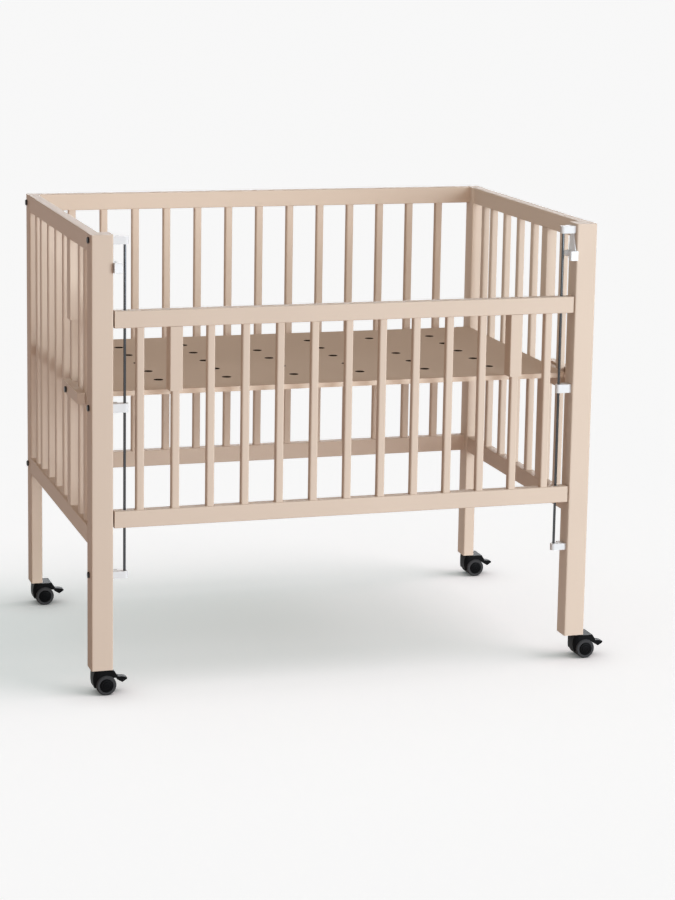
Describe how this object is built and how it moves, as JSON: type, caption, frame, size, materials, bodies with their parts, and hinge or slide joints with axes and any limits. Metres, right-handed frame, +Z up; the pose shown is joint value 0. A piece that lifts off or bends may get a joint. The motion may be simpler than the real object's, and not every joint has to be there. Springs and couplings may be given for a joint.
{
  "type": "bedside sleeper crib",
  "caption": "Bedside sleeper crib: painted wooden frame with slatted ends and back, perforated mattress base, front side sliding on two rods, and braked swivel casters.",
  "frame": {"origin": "middle of the crib's outline on the floor, casters and brake pedals included", "axes": "+X along the crib's length towards its right end as seen from the sliding front, +Y from the sliding front to the back, +Z up"},
  "size_m": [1.0204, 0.6604, 0.842],
  "materials": {
    "painted_wood": "satin taupe paint",
    "painted_board": "satin taupe paint",
    "bare_wood": "bare beech",
    "dark_steel": "black oxide",
    "zinc_steel": "zinc plated",
    "rod_steel": "bright drawn",
    "white_plastic": "satin",
    "black_plastic": "satin",
    "tyre_rubber": "matt"
  },
  "bodies": {
    "frame": {"front_left_post": "painted_wood", "front_right_post": "painted_wood", "back_left_post": "painted_wood", "back_right_post": "painted_wood", "left_top_rail": "painted_wood", "right_top_rail": "painted_wood", "left_bottom_rail": "painted_wood", "right_bottom_rail": "painted_wood", "left_slats": "painted_wood", "right_slats": "painted_wood", "left_battens": "painted_wood", "right_battens": "painted_wood", "back_top_rail": "painted_wood", "back_bottom_rail": "painted_wood", "back_slats": "painted_wood", "left_base_cleat": "painted_wood", "right_base_cleat": "painted_wood", "clamp_blocks": "painted_wood", "mattress_base": "painted_board", "rail_dowels": "bare_wood", "rail_bolts": "dark_steel", "bracket_bolts": "dark_steel", "clamp_bolts": "dark_steel", "clamp_nuts": "dark_steel", "barrel_nuts": "zinc_steel", "base_screws": "zinc_steel", "cleat_screws": "zinc_steel", "stem_inserts": "zinc_steel", "caster_stems": "zinc_steel", "guide_rods": "rod_steel", "top_brackets": "white_plastic", "middle_brackets": "white_plastic", "bottom_brackets": "white_plastic"},
    "drop_side": {"drop_top_rail": "painted_wood", "drop_bottom_rail": "painted_wood", "drop_slats": "painted_wood", "drop_battens": "painted_wood", "rod_bushes": "white_plastic"},
    "left_latch": {"left_latch_lever": "white_plastic"},
    "right_latch": {"right_latch_lever": "white_plastic"},
    "front_left_swivel": {"front_left_caster_hood": "black_plastic", "front_left_caster_axle": "zinc_steel"},
    "front_left_wheels": {"front_left_caster_tyres": "tyre_rubber", "front_left_caster_hubs": "black_plastic"},
    "front_left_brake": {"front_left_caster_brake": "black_plastic"},
    "front_right_swivel": {"front_right_caster_hood": "black_plastic", "front_right_caster_axle": "zinc_steel"},
    "front_right_wheels": {"front_right_caster_tyres": "tyre_rubber", "front_right_caster_hubs": "black_plastic"},
    "front_right_brake": {"front_right_caster_brake": "black_plastic"},
    "back_left_swivel": {"back_left_caster_hood": "black_plastic", "back_left_caster_axle": "zinc_steel"},
    "back_left_wheels": {"back_left_caster_tyres": "tyre_rubber", "back_left_caster_hubs": "black_plastic"},
    "back_left_brake": {"back_left_caster_brake": "black_plastic"},
    "back_right_swivel": {"back_right_caster_hood": "black_plastic", "back_right_caster_axle": "zinc_steel"},
    "back_right_wheels": {"back_right_caster_tyres": "tyre_rubber", "back_right_caster_hubs": "black_plastic"},
    "back_right_brake": {"back_right_caster_brake": "black_plastic"}
  },
  "joints": [
    {"name": "front_side_slide", "type": "slide", "parent": "frame", "child": "drop_side", "axis": [0, 0, 1], "range_m": [-0.081, 0.118]},
    {"name": "left_latch_swing", "type": "hinge", "parent": "frame", "child": "left_latch", "pos_m": [-0.45395, -0.30175, 0.8307], "axis": [1, 0, 0], "range_deg": [0, 12]},
    {"name": "right_latch_swing", "type": "hinge", "parent": "frame", "child": "right_latch", "pos_m": [0.42345, -0.30175, 0.8307], "axis": [1, 0, 0], "range_deg": [0, 12]},
    {"name": "front_left_caster_swivel", "type": "hinge", "parent": "frame", "child": "front_left_swivel", "pos_m": [-0.48375, -0.30225, 0.04], "axis": [0, 0, 1], "continuous": true},
    {"name": "front_left_wheel_spin", "type": "hinge", "parent": "front_left_swivel", "child": "front_left_wheels", "pos_m": [-0.46775, -0.30225, 0.0185], "axis": [0, 1, 0], "continuous": true},
    {"name": "front_left_brake_press", "type": "hinge", "parent": "front_left_swivel", "child": "front_left_brake", "pos_m": [-0.45675, -0.30225, 0.029], "axis": [0, 1, 0], "range_deg": [0, 10]},
    {"name": "front_right_caster_swivel", "type": "hinge", "parent": "frame", "child": "front_right_swivel", "pos_m": [0.45325, -0.30225, 0.04], "axis": [0, 0, 1], "continuous": true},
    {"name": "front_right_wheel_spin", "type": "hinge", "parent": "front_right_swivel", "child": "front_right_wheels", "pos_m": [0.46925, -0.30225, 0.0185], "axis": [0, 1, 0], "continuous": true},
    {"name": "front_right_brake_press", "type": "hinge", "parent": "front_right_swivel", "child": "front_right_brake", "pos_m": [0.48025, -0.30225, 0.029], "axis": [0, 1, 0], "range_deg": [0, 10]},
    {"name": "back_left_caster_swivel", "type": "hinge", "parent": "frame", "child": "back_left_swivel", "pos_m": [-0.48375, 0.30775, 0.04], "axis": [0, 0, 1], "continuous": true},
    {"name": "back_left_wheel_spin", "type": "hinge", "parent": "back_left_swivel", "child": "back_left_wheels", "pos_m": [-0.46775, 0.30775, 0.0185], "axis": [0, 1, 0], "continuous": true},
    {"name": "back_left_brake_press", "type": "hinge", "parent": "back_left_swivel", "child": "back_left_brake", "pos_m": [-0.45675, 0.30775, 0.029], "axis": [0, 1, 0], "range_deg": [0, 10]},
    {"name": "back_right_caster_swivel", "type": "hinge", "parent": "frame", "child": "back_right_swivel", "pos_m": [0.45325, 0.30775, 0.04], "axis": [0, 0, 1], "continuous": true},
    {"name": "back_right_wheel_spin", "type": "hinge", "parent": "back_right_swivel", "child": "back_right_wheels", "pos_m": [0.46925, 0.30775, 0.0185], "axis": [0, 1, 0], "continuous": true},
    {"name": "back_right_brake_press", "type": "hinge", "parent": "back_right_swivel", "child": "back_right_brake", "pos_m": [0.48025, 0.30775, 0.029], "axis": [0, 1, 0], "range_deg": [0, 10]}
  ]
}
